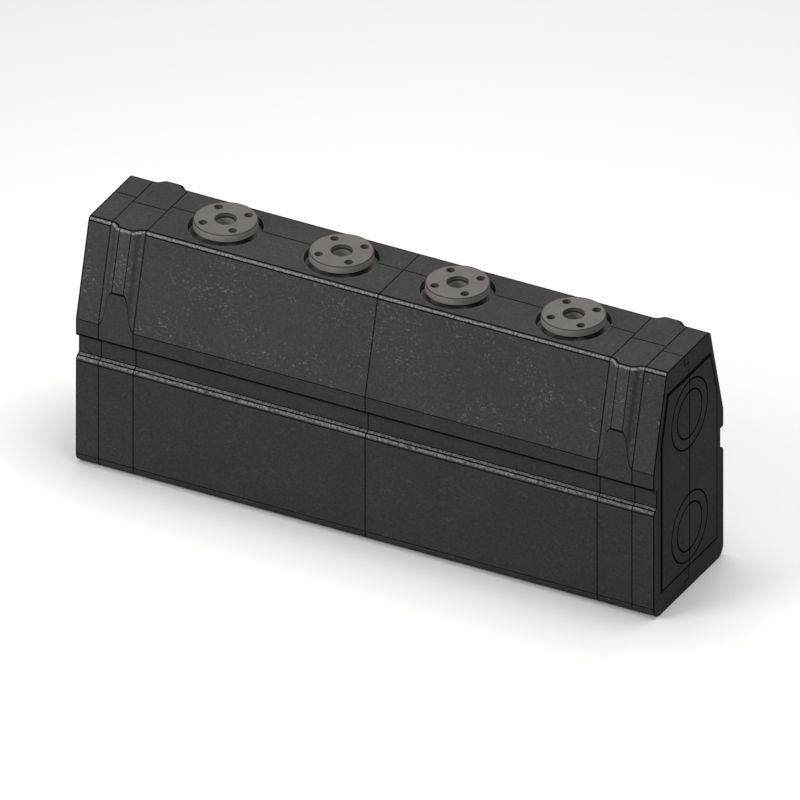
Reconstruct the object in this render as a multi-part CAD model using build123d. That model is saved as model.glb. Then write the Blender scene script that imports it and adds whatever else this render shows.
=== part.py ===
from build123d import *
import math
import os

# Heating distributor in a moulded bead-foam jacket: two steel header pipes, one above
# the other, four flanged outlets on top, and a jacket of twelve foam pieces that meet
# front to rear along the pipe centres.
# Origin: bottom centre. X runs along the headers, Y from front (-) to rear (+), Z up.

# ---- jacket envelope ----
LENGTH = 1500.0
HALF_WIDTH = 169.0
HEIGHT = 625.0
TOP_HALF = 105.0
BAND_TOP = 386.0
BAND_BOTTOM = 341.0
GROOVE_DEPTH = 15.0
LEDGE_Z = 290.5
LEDGE_ANGLE = 24.0
BOTTOM_RADIUS = 28.0
LEDGE_RADIUS = 12.5
BAND_RADIUS = 5.0
TOP_RADIUS = 10.0

# ---- joints of the jacket ----
RING_START = 600.0
RING_END = 690.0
GAP = 0.5
REBATE = 1.1
MIDDLE_SEAM = 20.0
MIDDLE_LAP = 20.0
CAP_SEAM = 20.0
CAP_LAP = 25.0

# ---- rib on the sloped faces ----
RIB_FLAT = 30.0
RIB_HEIGHT = 15.0
RIB_DRAFT = 5.0
RIB_ROOT = 20.0

# ---- end panel ----
PANEL_RAISE = 2.0
PANEL_HALF = 136.0
PANEL_TOP_HALF = 104.0
PANEL_BOTTOM = 58.5
PANEL_TOP = 566.5
PANEL_BEND = 447.0
SCORE_RADII = (60.0, 87.5)
SCORE_WIDTH = 2.0
SCORE_DEPTH = 2.4

# ---- steel work ----
HEADER_Z = (462.5, 162.5)
HEADER_OD = 114.3
HEADER_WALL = 3.6
HEADER_END = 698.0
HEAD_THICK = 8.0
ROLL_OFFSET = 15.9
ROLL_WIDTH = 8.7
ROLL_DEPTH = 2.1
ROLL_SPREAD = 2.0
ROLL_BEVEL = 1.5
STUB_OD = 48.3
STUB_WALL = 2.6
STUB_TOP = 639.0
WELD_LEG = 5.0
FLANGE_OD = 150.0
FLANGE_BORE = 49.5
FLANGE_THICK = 18.0
FLANGE_BASE = 628.0
FLANGE_PCD = 110.0
BOLT_HOLE = 18.0
FLANGE_BREAK = 0.8
BOLTS = 4
HEAD_RADIUS = 3.0
OUTLETS = 4
OUTLET_PITCH = 300.0
SUPPLY_OUTLETS = (0, 2)

# ---- hollows in the foam ----
CHANNEL_RADIUS = 58.5
CHANNEL_END = 700.0
STUB_CHANNEL = 25.5
RECESS_RADIUS = 87.5
RECESS_DEPTH = 20.0
WELD_ROOM_RADIUS = 33.0
WELD_ROOM = (42.0, 66.0)

# ---- how far a cutting tool runs past what it cuts ----
OVER = 5.0
WIDE = 1000.0

OUTLET_X = [(i - (OUTLETS - 1) / 2) * OUTLET_PITCH for i in range(OUTLETS)]
SIDES = (("left", -1), ("right", 1))
SLOPE = math.atan((HALF_WIDTH - TOP_HALF) / (HEIGHT - BAND_TOP))


def along_x(face, start, end):
    """Extrude a face drawn on the YZ plane from X=start to X=end."""
    return extrude(Pos(start, 0, 0) * face, amount=end - start, dir=(1, 0, 0))


def rod_x(radius, y, z, start, end):
    """A round bar along X."""
    place = Plane(origin=(start, y, z), x_dir=(0, 1, 0), z_dir=(1, 0, 0))
    return extrude(place * Circle(radius), amount=end - start)


def rod_z(radius, x, start, end):
    """A round bar along Z on the centre plane."""
    place = Plane(origin=(x, 0, start))
    return extrude(place * Circle(radius), amount=end - start)


def outline(inset=0.0, round_top=True):
    """Cross-section of the jacket, optionally drawn in by a small inset."""
    ledge_out = LEDGE_Z - GROOVE_DEPTH * math.tan(math.radians(LEDGE_ANGLE))
    wall = HALF_WIDTH
    floor = HALF_WIDTH - GROOVE_DEPTH
    half = [
        (wall, 0.0),
        (wall, ledge_out),
        (floor, LEDGE_Z),
        (floor, BAND_BOTTOM),
        (wall, BAND_BOTTOM),
        (wall, BAND_TOP),
        (TOP_HALF, HEIGHT),
    ]
    points = half + [(-y, z) for y, z in reversed(half)]
    face = Plane.YZ * make_face(Polyline(*points, close=True))
    radii = [
        (wall, 0.0, BOTTOM_RADIUS),
        (wall, ledge_out, LEDGE_RADIUS),
        (wall, BAND_BOTTOM, BAND_RADIUS),
    ]
    if round_top:
        radii.append((TOP_HALF, HEIGHT, TOP_RADIUS))
    for y, z, radius in radii:
        corners = [v for v in face.vertices() if abs(abs(v.Y) - y) < 0.01 and abs(v.Z - z) < 0.01]
        face = fillet(corners, radius)
    if inset:
        face = offset(face, amount=-inset, kind=Kind.INTERSECTION)
    return face


def module(start, end):
    """A plain length of jacket whose ends are stepped in, so that each joint reads as a fine groove."""
    body = along_x(outline(), start + REBATE, end - REBATE)
    tongue = along_x(outline(REBATE), start, end)
    return body + tongue


def step_in(x):
    """The sleeve to cut away round a joint at X=x, which leaves the fine groove."""
    sleeve = Pos(x, 0, HEIGHT / 2) * Box(2 * REBATE, WIDE, WIDE)
    return sleeve - along_x(outline(REBATE), x - OVER, x + OVER)


def rib(start, end, side):
    """The raised pilaster on one sloped face, with S-shaped flanks and an arched foot."""
    middle = (start + end) / 2
    half = (end - start) / 2
    flank = half - RIB_FLAT / 2
    bend = 2 * math.atan(RIB_HEIGHT / flank)
    radius = flank / (2 * math.sin(bend))
    mid_x = half - flank / 2
    mid_h = RIB_HEIGHT / 2
    dx = radius * math.sin(bend / 2)
    dh = radius * (1 - math.cos(bend / 2))
    foot = (half - dx, dh)
    brow = (RIB_FLAT / 2 + dx, RIB_HEIGHT - dh)
    edge = RIB_FLAT / 2
    path = [
        Line((-half, -RIB_ROOT), (-half, 0)),
        ThreePointArc((-half, 0), (-foot[0], foot[1]), (-mid_x, mid_h)),
        ThreePointArc((-mid_x, mid_h), (-brow[0], brow[1]), (-edge, RIB_HEIGHT)),
        Line((-edge, RIB_HEIGHT), (edge, RIB_HEIGHT)),
        ThreePointArc((edge, RIB_HEIGHT), brow, (mid_x, mid_h)),
        ThreePointArc((mid_x, mid_h), foot, (half, 0)),
        Line((half, 0), (half, -RIB_ROOT)),
        Line((half, -RIB_ROOT), (-half, -RIB_ROOT)),
    ]
    down = (0, -math.sin(SLOPE), -math.cos(SLOPE))
    place = Plane(origin=(middle, -TOP_HALF, HEIGHT), x_dir=(1, 0, 0), z_dir=down)
    section = place * make_face(Wire(path))
    length = (HEIGHT - BAND_TOP) / math.cos(SLOPE)
    bar = extrude(section, amount=length + 2 * OVER) + extrude(section, amount=-2 * OVER)
    lean = (HEIGHT - BAND_TOP) * math.tan(math.radians(RIB_DRAFT))
    limit = Polyline(
        (-TOP_HALF + 2 * RIB_ROOT, BAND_TOP),
        (-HALF_WIDTH, BAND_TOP),
        (-HALF_WIDTH + lean, HEIGHT),
        (-TOP_HALF + 2 * RIB_ROOT, HEIGHT),
        close=True,
    )
    keep = along_x(Plane.YZ * make_face(limit), start, end)
    piece = bar & keep
    if side > 0:
        piece = mirror(piece, about=Plane.XZ)
    return piece


def ring(start, end):
    """A ribbed ring of the jacket, with the top edge rounded round the ribs."""
    body = along_x(outline(round_top=False), start, end)
    body += rib(start, end, -1)
    body += rib(start, end, 1)
    rim = [
        e
        for e in body.edges()
        if abs(e.center().Z - HEIGHT) < 0.01
        and start + 0.01 < e.center().X < end - 0.01
        and abs(e.center().Y) > TOP_HALF - 1
    ]
    body = fillet(rim, TOP_RADIUS)
    for edge in (start, end):
        body -= step_in(edge)
    return body


def end_cap(side):
    """The end piece: plain jacket, raised panel and the scored knock-out circles."""
    inner = side * RING_END
    outer = side * LENGTH / 2
    low, high = sorted((inner + side * GAP / 2, outer))
    body = along_x(outline(), low, high)
    body -= step_in(inner)
    half = [(PANEL_HALF, PANEL_BOTTOM), (PANEL_HALF, PANEL_BEND), (PANEL_TOP_HALF, PANEL_TOP)]
    points = half + [(-y, z) for y, z in reversed(half)]
    panel = Plane.YZ * make_face(Polyline(*points, close=True))
    rim = along_x(outline(), *sorted((outer - side * PANEL_RAISE, outer + side * OVER)))
    rim -= along_x(panel, *sorted((outer - side * 2 * OVER, outer + side * 2 * OVER)))
    body -= rim
    low, high = sorted((outer - side * SCORE_DEPTH, outer + side * OVER))
    for z in HEADER_Z:
        for radius in SCORE_RADII:
            score = rod_x(radius + SCORE_WIDTH / 2, 0, z, low, high)
            score -= rod_x(radius - SCORE_WIDTH / 2, 0, z, low - OVER, high + OVER)
            body -= score
    return body


def half_space(front, seam, lap, low_lap):
    """The room kept by the front or the rear half: a straight middle with lapped edges."""
    top = HEIGHT + OVER
    if front:
        shift = -GAP / 2
        far = -WIDE
        lift = GAP / 2 if seam > 0 else -GAP / 2
    else:
        shift = GAP / 2
        far = WIDE
        lift = -GAP / 2 if seam > 0 else GAP / 2
    points = [
        (far, -OVER),
        (seam + shift, -OVER),
        (seam + shift, low_lap - lift),
        (shift, low_lap - lift),
        (shift, HEIGHT - lap + lift),
        (seam + shift, HEIGHT - lap + lift),
        (seam + shift, top),
        (far, top),
    ]
    if seam == 0:
        points = [(far, -OVER), (shift, -OVER), (shift, top), (far, top)]
    return along_x(Plane.YZ * make_face(Polyline(*points, close=True)), -LENGTH, LENGTH)


def seam_grooves(side):
    """Fine grooves that open the front-to-rear joint on the faces in view."""
    wide = 2 * REBATE + GAP
    deep = 2 * REBATE
    seam = -side * CAP_SEAM
    face = side * LENGTH / 2
    cuts = []
    runs = ((0, RING_START, MIDDLE_SEAM), (RING_START, RING_END, 0), (RING_END, LENGTH / 2, seam))
    for start, end, y in runs:
        cuts.append(Pos(side * (start + end) / 2, y, HEIGHT) * Box(end - start + 2 * REBATE, wide, deep))
    upper = HEIGHT - CAP_LAP
    reach = 2 * (REBATE + PANEL_RAISE)
    for z_low, z_high, y in ((upper, HEIGHT, seam), (CAP_LAP, upper, 0), (0, CAP_LAP, seam)):
        depth = 2 * REBATE if y == 0 else reach
        tall = z_high - z_low + wide
        cuts.append(Pos(face, y, (z_low + z_high) / 2) * Box(depth, wide, tall))
    for z in (upper, CAP_LAP):
        cuts.append(Pos(face, seam / 2, z) * Box(reach, CAP_SEAM + wide, wide))
    for z_low, z_high in ((PANEL_TOP, upper), (CAP_LAP, PANEL_BOTTOM)):
        cuts.append(Pos(face, 0, (z_low + z_high) / 2) * Box(reach, wide, z_high - z_low + wide))
    for x in OUTLET_X:
        cuts.append(Pos(x, 0, HEIGHT - RECESS_DEPTH) * Box(2 * RECESS_RADIUS - REBATE, wide, deep))
    return cuts


def roll_groove(tube, z):
    """Roll the coupling groove near a header's open end: pressed in outside, standing in as a bead inside."""
    start = ROLL_OFFSET - HEADER_END
    end = start + ROLL_WIDTH
    outside = HEADER_OD / 2
    bore = outside - HEADER_WALL
    groove = rod_x(outside + OVER, 0, z, start, end)
    groove -= rod_x(outside - ROLL_DEPTH, 0, z, start - OVER, end + OVER)
    bead = rod_x(bore + ROLL_DEPTH / 2, 0, z, start - ROLL_SPREAD, end + ROLL_SPREAD)
    opening = rod_x(bore - ROLL_DEPTH, 0, z, start - ROLL_SPREAD, end + ROLL_SPREAD)
    bead -= opening
    mouths = [e for e in bead.edges() if e.geom_type == GeomType.CIRCLE and e.radius < bore]
    bead = chamfer(mouths, ROLL_BEVEL)
    return tube + bead - groove


def save(name, solid):
    """Write one piece under its node name."""
    solid.label = name
    export_step(solid, "parts/" + name + ".step")


os.makedirs("parts", exist_ok=True)
pieces = {}

# ---- headers, heads, outlet pipes and flanges ----
pipe_r = HEADER_OD / 2
stub_r = STUB_OD / 2
stubs = []
for i, x in enumerate(OUTLET_X):
    level = HEADER_Z[0] if i in SUPPLY_OUTLETS else HEADER_Z[1]
    stub = rod_z(stub_r, x, level, STUB_TOP)
    stub -= rod_x(pipe_r, 0, level, x - STUB_OD, x + STUB_OD)
    weld = Plane(origin=(x, 0, FLANGE_BASE - WELD_LEG)) * Circle(stub_r)
    stub += loft([weld, Plane(origin=(x, 0, FLANGE_BASE)) * Circle(stub_r + WELD_LEG)])
    stub -= rod_z(stub_r - STUB_WALL, x, level - OVER, STUB_TOP + OVER)
    stubs.append(stub)
    pieces["outlet_pipe_" + str(i + 1)] = stub

for z, name in zip(HEADER_Z, ("supply", "return")):
    tube = rod_x(pipe_r, 0, z, -HEADER_END, HEADER_END - HEAD_THICK)
    tube -= rod_x(pipe_r - HEADER_WALL, 0, z, -HEADER_END - OVER, HEADER_END + OVER)
    tube = roll_groove(tube, z)
    for i, x in enumerate(OUTLET_X):
        supply = i in SUPPLY_OUTLETS
        if name == "supply" and supply:
            tube -= rod_z(stub_r - STUB_WALL, x, z, z + HEADER_OD)
        if name == "supply" and not supply:
            tube -= rod_z(stub_r, x, z - HEADER_OD, z + HEADER_OD)
        if name == "return" and not supply:
            tube -= rod_z(stub_r - STUB_WALL, x, z, z + HEADER_OD)
    pieces["header_" + name] = tube
    head = rod_x(pipe_r, 0, z, HEADER_END - HEAD_THICK, HEADER_END)
    head = fillet(head.edges().sort_by(Axis.X)[-1], HEAD_RADIUS)
    pieces["header_head_" + name] = head

for i, x in enumerate(OUTLET_X):
    flange_top = FLANGE_BASE + FLANGE_THICK
    flange = rod_z(FLANGE_OD / 2, x, FLANGE_BASE, flange_top)
    rims = flange.faces().filter_by(Axis.Z).edges()
    flange = chamfer(rims, FLANGE_BREAK)
    flange -= rod_z(FLANGE_BORE / 2, x, FLANGE_BASE - OVER, flange_top + OVER)
    for k in range(BOLTS):
        turn = 2 * math.pi * (k + 0.5) / BOLTS
        px = FLANGE_PCD / 2 * math.cos(turn)
        py = FLANGE_PCD / 2 * math.sin(turn)
        flange -= Pos(0, py, 0) * rod_z(BOLT_HOLE / 2, x + px, FLANGE_BASE - OVER, flange_top + OVER)
    pieces["flange_" + str(i + 1)] = flange

# ---- hollows in the jacket: pipe channels, outlet recesses ----
hollows = [rod_x(CHANNEL_RADIUS, 0, z, -CHANNEL_END, CHANNEL_END) for z in HEADER_Z]
for i, x in enumerate(OUTLET_X):
    level = HEADER_Z[0] if i in SUPPLY_OUTLETS else HEADER_Z[1]
    hollows.append(rod_z(STUB_CHANNEL, x, level, HEIGHT + OVER))
    hollows.append(rod_z(RECESS_RADIUS, x, HEIGHT - RECESS_DEPTH, HEIGHT + OVER))
    near, away = WELD_ROOM
    hollows.append(rod_z(WELD_ROOM_RADIUS, x, level + near, level + away))
    if i not in SUPPLY_OUTLETS:
        hollows.append(rod_z(WELD_ROOM_RADIUS, x, HEADER_Z[0] + near, HEADER_Z[0] + away))
        hollows.append(rod_z(WELD_ROOM_RADIUS, x, HEADER_Z[0] - away, HEADER_Z[0] - near))

# ---- jacket: middle modules, ribbed rings and end caps, each in two halves ----
for side_name, side in SIDES:
    inner = GAP / 2
    outer = RING_START - GAP / 2
    low, high = sorted((side * inner, side * outer))
    whole = module(low, high)
    ring_low, ring_high = sorted((side * (RING_START + GAP / 2), side * (RING_END - GAP / 2)))
    band = ring(ring_low, ring_high)
    cap = end_cap(side)
    for hollow in hollows + seam_grooves(side):
        whole -= hollow
        band -= hollow
        cap -= hollow
    for face_name, front in (("front", True), ("rear", False)):
        tag = "_" + face_name + "_" + side_name
        pieces["shell" + tag] = whole & half_space(front, MIDDLE_SEAM, MIDDLE_LAP, MIDDLE_LAP)
        pieces["ring" + tag] = band & half_space(front, 0, 0, 0)
        seam = -side * CAP_SEAM
        pieces["end_cap" + tag] = cap & half_space(front, seam, CAP_LAP, CAP_LAP)

for name, solid in pieces.items():
    save(name, solid)
    print(name, len(solid.solids()), round(solid.volume / 1000, 1), "cm3")
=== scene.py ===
import bpy
import math
from mathutils import Matrix, Vector


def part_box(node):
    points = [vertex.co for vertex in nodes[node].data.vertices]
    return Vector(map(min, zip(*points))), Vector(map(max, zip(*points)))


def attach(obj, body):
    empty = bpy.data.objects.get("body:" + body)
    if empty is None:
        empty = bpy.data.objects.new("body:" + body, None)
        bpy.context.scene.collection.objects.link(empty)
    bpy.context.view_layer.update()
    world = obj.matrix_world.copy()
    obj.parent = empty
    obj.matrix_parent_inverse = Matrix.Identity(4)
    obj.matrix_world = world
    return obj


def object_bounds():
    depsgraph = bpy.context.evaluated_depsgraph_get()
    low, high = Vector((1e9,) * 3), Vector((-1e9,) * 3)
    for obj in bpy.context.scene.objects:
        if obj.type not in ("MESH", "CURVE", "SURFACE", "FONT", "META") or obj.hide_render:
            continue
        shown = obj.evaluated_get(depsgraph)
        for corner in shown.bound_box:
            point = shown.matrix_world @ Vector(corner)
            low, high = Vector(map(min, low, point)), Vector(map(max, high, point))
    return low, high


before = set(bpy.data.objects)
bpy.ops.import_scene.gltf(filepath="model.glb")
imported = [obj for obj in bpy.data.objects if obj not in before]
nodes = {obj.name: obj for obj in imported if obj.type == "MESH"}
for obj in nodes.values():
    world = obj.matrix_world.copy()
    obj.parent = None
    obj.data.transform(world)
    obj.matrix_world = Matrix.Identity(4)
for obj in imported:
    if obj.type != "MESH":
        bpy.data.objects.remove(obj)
cad_low, cad_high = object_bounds()
scene = bpy.context.scene
scene.view_settings.view_transform = "Standard"

# ------------------------------------------------------------------ node helpers


class Tree:
    """A material's node tree with short ways to add and join nodes."""

    def __init__(self, name):
        self.material = bpy.data.materials.new(name)
        self.material.use_nodes = True
        self.nodes = self.material.node_tree.nodes
        self.links = self.material.node_tree.links
        self.nodes.clear()
        self.output = self.nodes.new("ShaderNodeOutputMaterial")
        self.shader = self.nodes.new("ShaderNodeBsdfPrincipled")
        self.links.new(self.shader.outputs["BSDF"], self.output.inputs["Surface"])
        self.place = self.nodes.new("ShaderNodeTexCoord").outputs["Object"]

    def join(self, value, socket):
        """Put a number, a colour or another node's output into a socket."""
        if isinstance(value, bpy.types.NodeSocket):
            self.links.new(value, socket)
        else:
            socket.default_value = value

    def math(self, operation, a, b=0.0, c=0.0, clamp=False):
        node = self.nodes.new("ShaderNodeMath")
        node.operation = operation
        node.use_clamp = clamp
        for value, socket in zip((a, b, c), node.inputs):
            self.join(value, socket)
        return node.outputs[0]

    def mix(self, factor, a, b):
        node = self.nodes.new("ShaderNodeMix")
        node.data_type = "RGBA"
        self.join(factor, node.inputs[0])
        self.join(a, node.inputs[6])
        self.join(b, node.inputs[7])
        return node.outputs[2]

    def ramp(self, value, low, high, from_value=0.0, to_value=1.0):
        """Map low..high to from_value..to_value, smoothly and clamped."""
        node = self.nodes.new("ShaderNodeMapRange")
        node.interpolation_type = "SMOOTHSTEP"
        for item, socket in zip((value, low, high, from_value, to_value), node.inputs):
            self.join(item, socket)
        return node.outputs[0]

    def noise(self, scale, detail=3.0, rough=0.55, vector=None):
        node = self.nodes.new("ShaderNodeTexNoise")
        self.join(vector or self.place, node.inputs["Vector"])
        node.inputs["Scale"].default_value = scale
        node.inputs["Detail"].default_value = detail
        node.inputs["Roughness"].default_value = rough
        return node.outputs["Fac"]

    def cells(self, scale, feature, randomness=1.0, vector=None):
        node = self.nodes.new("ShaderNodeTexVoronoi")
        node.feature = feature
        self.join(vector or self.place, node.inputs["Vector"])
        node.inputs["Scale"].default_value = scale
        node.inputs["Randomness"].default_value = randomness
        return node.outputs

    def split(self, vector=None):
        node = self.nodes.new("ShaderNodeSeparateXYZ")
        self.join(vector or self.place, node.inputs[0])
        return node.outputs

    def bump(self, height, distance, strength, normal=None):
        node = self.nodes.new("ShaderNodeBump")
        node.inputs["Distance"].default_value = distance
        node.inputs["Strength"].default_value = strength
        self.join(height, node.inputs["Height"])
        if normal is not None:
            self.join(normal, node.inputs["Normal"])
        return node.outputs[0]

    def edges(self, radius, low, high):
        """1 along sharp edges and in sharp corners, 0 on open faces."""
        bevel = self.nodes.new("ShaderNodeBevel")
        bevel.samples = 6
        bevel.inputs["Radius"].default_value = radius
        geometry = self.nodes.new("ShaderNodeNewGeometry")
        dot = self.nodes.new("ShaderNodeVectorMath")
        dot.operation = "DOT_PRODUCT"
        self.links.new(bevel.outputs[0], dot.inputs[0])
        self.links.new(geometry.outputs["Normal"], dot.inputs[1])
        turned = self.math("SUBTRACT", 1.0, dot.outputs["Value"])
        return self.ramp(turned, low, high)


def grey(level, warm=0.0):
    """A grey, made warmer or cooler by a small share."""
    return (level * (1 + warm), level, level * (1 - warm), 1.0)


def both(t, *masks):
    """Where every mask is on."""
    found = masks[0]
    for mask in masks[1:]:
        found = t.math("MULTIPLY", found, mask)
    return found


def either(t, *masks):
    """Where any mask is on."""
    found = masks[0]
    for mask in masks[1:]:
        found = t.math("MAXIMUM", found, mask)
    return found


def line(t, value, centre, half, soft=0.0005):
    """1 where a value is within half of a centre, falling off over a short distance."""
    off = t.math("ABSOLUTE", t.math("SUBTRACT", value, centre))
    return t.ramp(off, half, half + soft, 1.0, 0.0)


def between(t, value, low, high, soft=0.0005):
    """1 where a value lies between two others."""
    return line(t, value, (low + high) / 2, (high - low) / 2, soft)


def distance(t, a, b):
    return t.math("SQRT", t.math("ADD", t.math("MULTIPLY", a, a), t.math("MULTIPLY", b, b)))


def from_outlet(t, x):
    """X measured from the nearest outlet's axis."""
    turned = t.math("WRAP", x, PITCH, 0.0)
    return t.math("SUBTRACT", turned, PITCH / 2)


# ------------------------------------------------------------------ sizes taken from the frame, in metres

first_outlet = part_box("flange_1")
second_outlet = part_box("flange_2")
ring_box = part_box("ring_front_right")
PITCH = second_outlet[0].x - first_outlet[0].x
FLANGE_R = (first_outlet[1].x - first_outlet[0].x) / 2
FLANGE_TOP = first_outlet[1].z
PIPE_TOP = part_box("outlet_pipe_1")[1].z
TOP = cad_high.z
WALL = cad_high.y
END = cad_high.x
RING = (ring_box[0].x, ring_box[1].x)
RIB_X = (RING[0] + RING[1]) / 2

# ------------------------------------------------------------------ the mould's lines, in metres

BOTTOM_ROUND = 0.028
BAND_TOP = 0.386
BAND_FOOT = (0.3390, 0.3480)
LEDGE_LINES = ((0.2906, 0.2926), (0.2860, 0.2874), (0.2742, 0.2768))
LEDGE = (0.280, 0.292)
TOP_FLAT = (0.0948, 0.0978)
SLOPE_START = (0.6150, 0.6180)
RIB_FLAT = 0.015
RIB_LEAN = math.radians(5.0)
LEDGE_ANGLE = 24.0
RECESS_R = 0.0875
RECESS_FLOOR = 0.605
BOLT_AT = 0.055 / math.sqrt(2.0)
BOLT_R = 0.009
BORE_R = 0.02475
HEADERS = (0.4625, 0.1625)
HEADER_R = 0.05715
HEAD_X = 0.690
STUB_R = 0.02415
SCORES = (0.060, 0.0875)
PANEL_HALF = 0.136
PANEL_BEND = 0.447
PANEL_TOP = 0.5665
PANEL_BOTTOM = 0.0585
PANEL_TOP_HALF = 0.104
PANEL_LEAN = math.atan2(PANEL_HALF - PANEL_TOP_HALF, PANEL_TOP - PANEL_BEND)

# ------------------------------------------------------------------ materials: reflectances, and gains that paint light onto faces

FOAM = 0.0365
HIGHLIGHT_GREY = 0.21
EDGE_SHADE_GREY = 0.003
SLOPE_PAINTED_LIGHT = 1.14
TOP_PAINTED_LIGHT = 1.16
RIB_PAINTED_LIGHT = 1.16
RECESS_PAINTED_LIGHT = 2.1
PRIMER = (0.1000, 0.0910, 0.0812)
FLANGE_SIDE_PAINTED_LIGHT = 1.95


def foam_lines(t, x, y, z, turn, angle, outlet):
    """Painted dark lines along the mould's edges and beside the rounded edges' painted highlights, and
    painted shade in its creases, under the band and round the recess floors.
    """
    shoulder = t.ramp(y, 0.150, 0.152)
    side = t.ramp(turn, 0.5, 0.6, 1.0, 0.0)
    end = t.ramp(turn, 0.85, 0.95)
    on_ring = between(t, x, RING[0], RING[1])

    # painted dark lines along the arched foot and flat of the ribs, painted shade in the foot's crease
    lean_y = t.math("MULTIPLY", y, math.cos(RIB_LEAN))
    lean_z = t.math("MULTIPLY", z, math.sin(RIB_LEAN))
    foot = WALL * math.cos(RIB_LEAN) + BAND_TOP * math.sin(RIB_LEAN)
    depth = t.math("SUBTRACT", foot, t.math("ADD", lean_y, lean_z))
    above = t.ramp(z, BAND_TOP - 0.0006, BAND_TOP)
    off_foot = t.ramp(t.math("ABSOLUTE", t.math("SUBTRACT", angle, math.degrees(RIB_LEAN))), 0.8, 2.0)
    arch = both(t, t.ramp(depth, 0.0007, 0.0010, 1.0, 0.0), above, off_foot, on_ring)
    from_rib = t.math("ABSOLUTE", t.math("SUBTRACT", x, RIB_X))
    flat = both(t, line(t, from_rib, RIB_FLAT, 0.0009), t.ramp(depth, 0.0002, 0.0004), above, side)
    flat = both(t, flat, on_ring, t.ramp(angle, 60.0, 66.0, 1.0, 0.0))
    painted_lines = either(t, arch, flat)

    # painted dark lines on both sides of the rounded top edge, beside its painted highlight
    low_side = both(t, t.ramp(angle, 15.2, 16.0), t.ramp(angle, 17.0, 21.0, 1.0, 0.0))
    high_side = both(t, t.ramp(angle, 61.0, 69.0), t.ramp(angle, 89.0, 89.8, 1.0, 0.0))
    rounded = both(t, either(t, low_side, high_side), t.ramp(z, TOP - 0.025, TOP - 0.024))
    on_top = between(t, y, TOP_FLAT[0], TOP_FLAT[1], 0.0003)
    on_top = both(t, on_top, t.ramp(z, TOP - 0.0012, TOP - 0.0006))
    on_slope = both(t, between(t, z, SLOPE_START[0], SLOPE_START[1], 0.0003), t.ramp(y, 0.10, 0.101))
    beside = both(t, either(t, on_top, on_slope), t.math("SUBTRACT", 1.0, on_ring), side)
    painted_lines = either(t, painted_lines, rounded, beside)

    # painted dark lines at the top and foot of the band and along the ledge, painted shade under the
    # band's overhang
    crest = both(t, line(t, z, BAND_TOP, 0.0009), t.math("SUBTRACT", 1.0, on_ring))
    levels = either(t, crest, between(t, z, BAND_FOOT[0], BAND_FOOT[1]))
    levels = either(t, levels, line(t, z, BOTTOM_ROUND, 0.0009))
    for low, high in LEDGE_LINES:
        levels = either(t, levels, between(t, z, low, high, 0.0003))
    painted_lines = either(t, painted_lines, both(t, levels, shoulder, side))

    # painted dark lines at the corner to the end face and round the knock-out circles, painted shade
    # along the panel outline
    painted_lines = either(t, painted_lines, both(t, t.ramp(x, END - 0.0056, END - 0.0050), side))
    tall = t.math("SUBTRACT", y, PANEL_HALF)
    slant = t.math("MULTIPLY", tall, math.cos(PANEL_LEAN))
    rise = t.math("MULTIPLY", t.math("SUBTRACT", z, PANEL_BEND), math.sin(PANEL_LEAN))
    rim = t.math("MAXIMUM", tall, t.math("ADD", slant, rise))
    rim = t.math("MAXIMUM", rim, t.math("SUBTRACT", z, PANEL_TOP))
    rim = t.math("MAXIMUM", rim, t.math("SUBTRACT", PANEL_BOTTOM, z))
    panel = line(t, rim, -0.0004, 0.0034)
    for level in HEADERS:
        away = distance(t, y, t.math("SUBTRACT", z, level))
        for score in SCORES:
            panel = either(t, panel, line(t, away, score, 0.0021))
    painted_lines = either(t, painted_lines, both(t, panel, end, t.ramp(x, END - 0.006, END - 0.005)))

    # painted dark line round the rim and painted shade in the floor corner of the outlet recesses
    middle = t.ramp(x, RING[0] - 0.02, RING[0] - 0.01, 1.0, 0.0)
    brim = both(t, line(t, outlet, RECESS_R + 0.0012, 0.0016), t.ramp(z, TOP - 0.0025, TOP - 0.0015))
    corner = both(t, between(t, z, RECESS_FLOOR, RECESS_FLOOR + 0.0015), t.ramp(outlet, 0.086, 0.087))
    corner = both(t, corner, t.ramp(outlet, 0.088, 0.089, 1.0, 0.0))
    return either(t, painted_lines, both(t, brim, middle), both(t, corner, middle))


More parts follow.
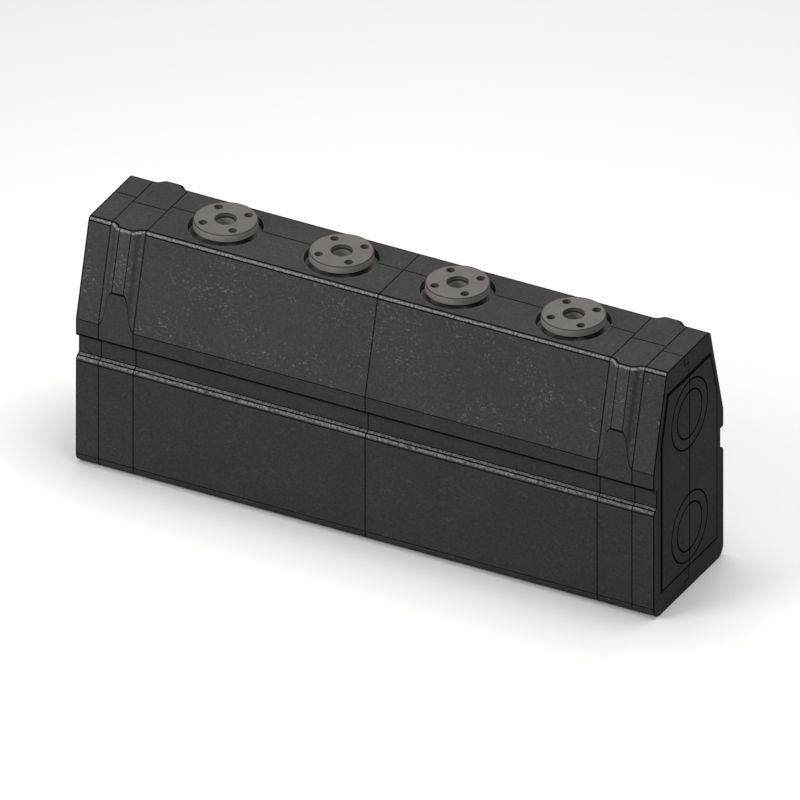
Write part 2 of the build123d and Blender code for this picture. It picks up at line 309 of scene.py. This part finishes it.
def foam_material():
    """Moulded bead foam: fused beads and wrinkled skin, with painted glints, painted highlights on the
    round edges, painted light on the recesses, slopes, tops and ribs, and painted dark lines and shade
    along edges and creases.
    """
    t = Tree("bead_foam")
    at = t.split()
    normal = t.split(t.nodes["Texture Coordinate"].outputs["Normal"])
    x = t.math("ABSOLUTE", at[0])
    y = t.math("ABSOLUTE", at[1])
    z = at[2]
    turn = t.math("ABSOLUTE", normal[0])
    angle = t.math("MULTIPLY", t.math("ARCSINE", normal[2]), 180.0 / math.pi)
    outlet = distance(t, from_outlet(t, at[0]), at[1])

    # fused beads under the skin, and slow changes of tone
    bead = t.cells(250.0, "F1")
    seam = t.cells(250.0, "DISTANCE_TO_EDGE")["Distance"]
    fine = t.noise(800.0, 2.0)
    wrinkle = t.noise(60.0, 3.0, 0.6)
    tone = t.ramp(bead["Color"], 0.0, 1.0, 0.90, 1.10)
    tone = both(t, tone, t.ramp(t.noise(6.0, 2.0), 0.3, 0.7, 0.95, 1.05))
    tone = both(t, tone, t.ramp(seam, 0.0, 0.12, 0.85, 1.0))

    # short painted glints: bright wrinkle streaks added to the colour, mostly on the sloped faces; the
    # same streaks raise the bump
    slant = t.nodes.new("ShaderNodeMapping")
    slant.inputs["Rotation"].default_value = (0.0, math.radians(38.0), 0.0)
    slant.inputs["Scale"].default_value = (0.55, 1.0, 1.5)
    t.join(t.place, slant.inputs["Vector"])
    ridge = t.math("ABSOLUTE", t.math("SUBTRACT", t.noise(95.0, 1.0, 0.5, slant.outputs[0]), 0.5))
    broken = both(t, t.ramp(ridge, 0.010, 0.050, 1.0, 0.0), t.ramp(t.noise(150.0, 1.0), 0.52, 0.60))
    broken = both(t, broken, t.ramp(t.noise(13.0, 2.0), 0.44, 0.60, 0.15, 1.0))
    slanted = both(t, t.ramp(angle, 10.0, 14.0), t.ramp(angle, 16.0, 20.0, 1.0, 0.0))
    glint = t.math("MULTIPLY", broken, t.ramp(slanted, 0.0, 1.0, 0.30, 1.0))
    grain = t.ramp(t.noise(420.0, 1.5), 0.60, 0.74)
    tone = t.math("ADD", tone, t.math("MULTIPLY", glint, 1.5))
    tone = t.math("ADD", tone, t.math("MULTIPLY", grain, 0.45))

    # painted light: the colour is made paler in the outlet recesses, on the slopes and tops, and on the
    # ribs
    recess_painted_light = t.ramp(outlet, 0.0885, 0.0890, 1.0, 0.0)
    recess_painted_light = both(t, recess_painted_light, t.ramp(z, TOP - 0.0012, TOP - 0.0006, 1.0, 0.0))
    recess_painted_light = both(t, recess_painted_light, t.ramp(x, RING[0] - 0.02, RING[0] - 0.01, 1.0, 0.0))
    recess_painted_light = both(t, recess_painted_light, t.ramp(z, RECESS_FLOOR - 0.002, RECESS_FLOOR - 0.001))
    tone = t.math("MULTIPLY", tone, t.ramp(recess_painted_light, 0.0, 1.0, 1.0, RECESS_PAINTED_LIGHT))
    tone = t.math("MULTIPLY", tone, t.ramp(slanted, 0.0, 1.0, 1.0, SLOPE_PAINTED_LIGHT))
    tone = t.math("MULTIPLY", tone, t.ramp(angle, 50.0, 75.0, 1.0, TOP_PAINTED_LIGHT))
    rib_painted_light = both(t, between(t, x, RING[0], RING[1]), t.ramp(z, BAND_FOOT[1], BAND_FOOT[1] + 0.001))
    rib_painted_light = both(t, rib_painted_light, t.ramp(angle, 40.0, 50.0, 1.0, 0.0), t.ramp(y, 0.09, 0.10))
    tone = t.math("MULTIPLY", tone, t.ramp(rib_painted_light, 0.0, 1.0, 1.0, RIB_PAINTED_LIGHT))
    base = t.nodes.new("ShaderNodeCombineColor")
    for k, tint in enumerate((1.0, 1.0, 0.985)):
        t.join(t.math("MULTIPLY", tone, FOAM * tint), base.inputs[k])

    # painted highlight along the rounded edges and the ledge, broken into speckles
    off = t.math("ABSOLUTE", t.math("SUBTRACT", angle, 38.0))
    outer = both(t, t.ramp(z, 0.20, 0.22), t.ramp(y, 0.088, 0.092))
    painted_highlight = both(t, t.ramp(off, 6.0, 25.0, 1.0, 0.0), outer)
    ledge = both(t, line(t, angle, 90.0 - LEDGE_ANGLE, 3.0, 3.0), between(t, z, LEDGE[0], LEDGE[1]))
    painted_highlight = either(t, painted_highlight, t.math("MULTIPLY", ledge, 0.95))
    speckle = t.ramp(t.noise(190.0, 3.0, 0.7), 0.38, 0.62, 0.15, 1.25)
    skin = t.mix(t.math("MULTIPLY", painted_highlight, speckle, clamp=True), base.outputs[0], grey(HIGHLIGHT_GREY))

    painted_lines = foam_lines(t, x, y, z, turn, angle, outlet)
    # painted shade: darker along sharp edges and in sharp corners
    painted_edge_shade = t.math("MULTIPLY", t.edges(0.0015, 0.012, 0.09), 0.85)
    dark = either(t, t.math("MULTIPLY", painted_lines, 0.97), painted_edge_shade)
    t.join(t.mix(dark, skin, grey(EDGE_SHADE_GREY)), t.shader.inputs["Base Color"])

    t.join(t.ramp(fine, 0.3, 0.7, 0.46, 0.60), t.shader.inputs["Roughness"])
    t.shader.inputs["Specular IOR Level"].default_value = 0.0
    height = t.math("MULTIPLY", t.ramp(seam, 0.0, 0.25), 0.4)
    height = t.math("ADD", height, t.math("MULTIPLY", wrinkle, 1.6))
    height = t.math("ADD", height, t.math("MULTIPLY", glint, 0.8))
    height = t.math("ADD", height, t.math("MULTIPLY", fine, 0.2))
    t.join(t.bump(height, 0.0005, 0.7), t.shader.inputs["Normal"])
    return t.material


def flange_material():
    """Turned steel disc with a warm grey primer: fine lathe rings and faint mottling, with painted light
    on its side, painted shade in the bolt holes and painted dark edge lines.
    """
    t = Tree("flange_primer")
    at = t.split()
    x = from_outlet(t, at[0])
    radius = distance(t, x, at[1])
    rings = t.math("SINE", t.math("MULTIPLY", radius, 9000.0))
    fine = t.noise(700.0, 2.0)
    tone = t.ramp(t.noise(28.0, 3.0), 0.3, 0.7, 0.93, 1.06)
    tone = t.math("ADD", tone, t.math("MULTIPLY", rings, 0.015))
    tone = t.math("MULTIPLY", tone, t.ramp(fine, 0.3, 0.7, 0.96, 1.04))
    # painted light: the disc's side is lightened
    tone = t.math("MULTIPLY", tone, t.ramp(radius, FLANGE_R - 0.0002, FLANGE_R - 0.0001, 1.0, FLANGE_SIDE_PAINTED_LIGHT))
    base = t.nodes.new("ShaderNodeCombineColor")
    for k, level in enumerate(PRIMER):
        t.join(t.math("MULTIPLY", tone, level), base.inputs[k])

    # painted shade in the bolt holes, and painted dark lines round the holes, the bore and the rim and
    # along sharp edges
    folded_x = t.math("SUBTRACT", t.math("ABSOLUTE", x), BOLT_AT)
    folded_y = t.math("SUBTRACT", t.math("ABSOLUTE", at[1]), BOLT_AT)
    bolt = distance(t, folded_x, folded_y)
    face = t.ramp(at[2], FLANGE_TOP - 0.0016, FLANGE_TOP - 0.0010)
    rims = either(t, line(t, bolt, BOLT_R, 0.0014), line(t, radius, BORE_R, 0.0014))
    rims = either(t, rims, line(t, radius, FLANGE_R, 0.0026))
    bolt_hole_shade = t.ramp(bolt, BOLT_R, BOLT_R + 0.0003, 1.0, 0.0)
    dark = either(t, both(t, rims, face), t.math("MULTIPLY", t.edges(0.0012, 0.03, 0.16), 0.8))
    skin = t.mix(t.math("MULTIPLY", bolt_hole_shade, 0.25), base.outputs[0], grey(0.05, 0.08))
    t.join(t.mix(t.math("MULTIPLY", dark, 0.88), skin, grey(0.012, 0.1)), t.shader.inputs["Base Color"])
    t.shader.inputs["Specular IOR Level"].default_value = 0.25
    t.join(t.ramp(fine, 0.3, 0.7, 0.46, 0.60), t.shader.inputs["Roughness"])
    height = t.math("ADD", t.math("MULTIPLY", rings, 0.25), t.math("MULTIPLY", fine, 0.5))
    t.join(t.bump(height, 0.0001, 0.5), t.shader.inputs["Normal"])
    return t.material


def pipe_material():
    """Steel pipe: mill scale with patches, fine streaks and a little rust; flash rust in the bores."""
    t = Tree("mill_scale")
    at = t.split()
    radius = distance(t, from_outlet(t, at[0]), at[1])
    stretch = t.nodes.new("ShaderNodeMapping")
    stretch.inputs["Scale"].default_value = (0.15, 1.0, 1.0)
    t.join(t.place, stretch.inputs["Vector"])
    streak = t.noise(220.0, 3.0, 0.6, stretch.outputs[0])
    patch = t.noise(22.0, 4.0, 0.6)
    rust = t.ramp(t.noise(55.0, 5.0, 0.7), 0.60, 0.74)
    skin = t.mix(t.ramp(patch, 0.35, 0.65), (0.085, 0.088, 0.094, 1.0), (0.15, 0.15, 0.152, 1.0))
    skin = t.mix(t.ramp(streak, 0.45, 0.7, 0.0, 0.45), skin, (0.055, 0.056, 0.06, 1.0))
    skin = t.mix(t.math("MULTIPLY", rust, 0.45), skin, (0.11, 0.05, 0.025, 1.0))
    bore = both(t, t.ramp(radius, 0.0218, 0.0222, 1.0, 0.0), t.ramp(at[2], 0.53, 0.56))
    mottle = t.ramp(patch, 0.35, 0.65, 0.85, 1.1)
    dusty = t.mix(mottle, grey(0.13, 0.05), grey(0.21, 0.07))
    skin = t.mix(bore, skin, dusty)
    # painted shade: the pipe's top end is coloured near-black, a dark line round the bore
    tip = t.ramp(at[2], PIPE_TOP - 0.0032, PIPE_TOP - 0.0024)
    t.join(t.mix(tip, skin, grey(0.006)), t.shader.inputs["Base Color"])
    metal = t.math("MULTIPLY", t.math("SUBTRACT", 1.0, either(t, bore, tip)), 0.6)
    t.join(metal, t.shader.inputs["Metallic"])
    rough = t.math("ADD", t.ramp(streak, 0.3, 0.7, 0.38, 0.55), t.math("MULTIPLY", rust, 0.25))
    t.join(rough, t.shader.inputs["Roughness"])
    t.join(t.bump(t.math("ADD", streak, patch), 0.0002, 0.4), t.shader.inputs["Normal"])
    return t.material


def weld_material():
    """Weld metal: brushed grey ridges with soot in the ripples and patches of heat tint."""
    t = Tree("weld_metal")
    patch = t.ramp(t.noise(60.0, 4.0, 0.6), 0.38, 0.66)
    soot = t.ramp(t.noise(420.0, 3.0, 0.65), 0.50, 0.72)
    skin = t.mix(patch, (0.13, 0.125, 0.12, 1.0), (0.10, 0.075, 0.055, 1.0))
    t.join(t.mix(t.math("MULTIPLY", soot, 0.7), skin, grey(0.03)), t.shader.inputs["Base Color"])
    t.join(t.ramp(soot, 0.0, 1.0, 0.6, 0.15), t.shader.inputs["Metallic"])
    t.join(t.ramp(patch, 0.0, 1.0, 0.38, 0.62), t.shader.inputs["Roughness"])
    t.join(t.bump(t.noise(900.0, 2.0), 0.0002, 0.4), t.shader.inputs["Normal"])
    return t.material


foam = foam_material()
primer = flange_material()
steel = pipe_material()
weld_metal = weld_material()

for name, node in nodes.items():
    if name.startswith("flange"):
        finish = primer
    elif name.startswith(("header", "outlet")):
        finish = steel
    else:
        finish = foam
    node.data.materials.clear()
    node.data.materials.append(finish)

# ------------------------------------------------------------------ weld beads


def weld_bead(name, path, radius, ripples):
    """A closed bead along path(angle): a rippled tube whose crescents overlap like laid weld metal."""
    steps = ripples * 8
    sides = 10
    points = [Vector(path(2 * math.pi * k / steps)) for k in range(steps)]
    middle = sum(points, Vector()) / steps
    mesh = bpy.data.meshes.new(name)
    verts = []
    for k, point in enumerate(points):
        along = (points[(k + 1) % steps] - points[k - 1]).normalized()
        out = point - middle
        out = (out - along * out.dot(along)).normalized()
        side = along.cross(out)
        swell = radius * (0.84 + 0.16 * ((k % 8) / 7.0) ** 0.6 + 0.05 * math.sin(k * 0.37))
        for j in range(sides):
            turn = 2 * math.pi * j / sides
            verts.append(point + (out * math.cos(turn) + side * math.sin(turn)) * swell)
    faces = []
    for k in range(steps):
        for j in range(sides):
            a, b = k * sides, ((k + 1) % steps) * sides
            faces.append((a + j, a + (j + 1) % sides, b + (j + 1) % sides, b + j))
    mesh.from_pydata(verts, [], faces)
    mesh.update()
    for face in mesh.polygons:
        face.use_smooth = True
    bead = bpy.data.objects.new(name, mesh)
    scene.collection.objects.link(bead)
    mesh.materials.append(weld_metal)
    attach(bead, "manifold")


def saddle(x, level, way):
    """Where an outlet pipe meets the upper (way 1) or lower (way -1) side of a header."""
    def path(turn):
        across = STUB_R * math.sin(turn)
        return x + STUB_R * math.cos(turn), across, level + way * math.sqrt(HEADER_R ** 2 - across ** 2)
    return path


def seam(x, level, radius):
    """A ring round a header."""
    def path(turn):
        return x, radius * math.cos(turn), level + radius * math.sin(turn)
    return path


for k in range(4):
    outlet_x = (first_outlet[0].x + first_outlet[1].x) / 2 + k * PITCH
    spots = [(HEADERS[0], 1)]
    if k % 2 == 1:
        spots += [(HEADERS[0], -1), (HEADERS[1], 1)]
    for j, (level, way) in enumerate(spots):
        weld_bead(f"weld_outlet_{k + 1}_{j + 1}", saddle(outlet_x, level, way), 0.0029, 36)
weld_bead("weld_head_supply", seam(HEAD_X, HEADERS[0], HEADER_R - 0.0014), 0.0021, 80)
weld_bead("weld_head_return", seam(HEAD_X, HEADERS[1], HEADER_R - 0.0014), 0.0021, 80)

# ------------------------------------------------------------------ floor, light and camera

bpy.ops.mesh.primitive_plane_add(size=14.0, location=(0, 0, cad_low.z - 0.0004))
floor = bpy.context.object
floor.name = "floor"
pale = Tree("pale_floor")
pale.shader.inputs["Base Color"].default_value = grey(0.80)
pale.shader.inputs["Roughness"].default_value = 0.9
pale.shader.inputs["Specular IOR Level"].default_value = 0.1
floor.data.materials.append(pale.material)

world = bpy.data.worlds.new("studio")
scene.world = world
world.use_nodes = True
world.node_tree.nodes["Background"].inputs[0].default_value = (1.0, 1.0, 1.0, 1.0)
world.node_tree.nodes["Background"].inputs[1].default_value = 0.50


def softbox(name, aim, direction, distance, size, power, colour):
    """A square area light that faces a point from a direction."""
    lamp = bpy.data.lights.new(name, "AREA")
    lamp.shape = "SQUARE"
    lamp.size = size
    lamp.energy = power
    lamp.color = colour
    item = bpy.data.objects.new(name, lamp)
    scene.collection.objects.link(item)
    way = Vector(direction).normalized()
    item.location = Vector(aim) + way * distance
    item.rotation_euler = way.to_track_quat("Z", "Y").to_euler()


middle = (cad_low + cad_high) / 2
softbox("key", middle, (-0.40, -0.70, 0.58), 4.0, 1.8, 79, (1.0, 1.0, 1.0))
softbox("overhead", middle, (0.10, 0.15, 1.0), 4.0, 3.0, 148, (1.0, 0.99, 0.97))

azimuth = math.radians(27.84)
elevation = math.radians(31.03)
toward = Vector((
    math.sin(azimuth) * math.cos(elevation),
    -math.cos(azimuth) * math.cos(elevation),
    math.sin(elevation),
))
right = Vector((math.cos(azimuth), math.sin(azimuth), 0.0))
up = toward.cross(right)
lens = bpy.data.cameras.new("camera")
lens.type = "ORTHO"
lens.ortho_scale = 1.8293
lens.clip_end = 50.0
camera = bpy.data.objects.new("camera", lens)
scene.collection.objects.link(camera)
aim = right * 0.0009 + up * 0.2474
axes = Matrix((right, up, toward)).transposed().to_4x4()
camera.matrix_world = Matrix.Translation(aim + toward * 8.0) @ axes
scene.camera = camera
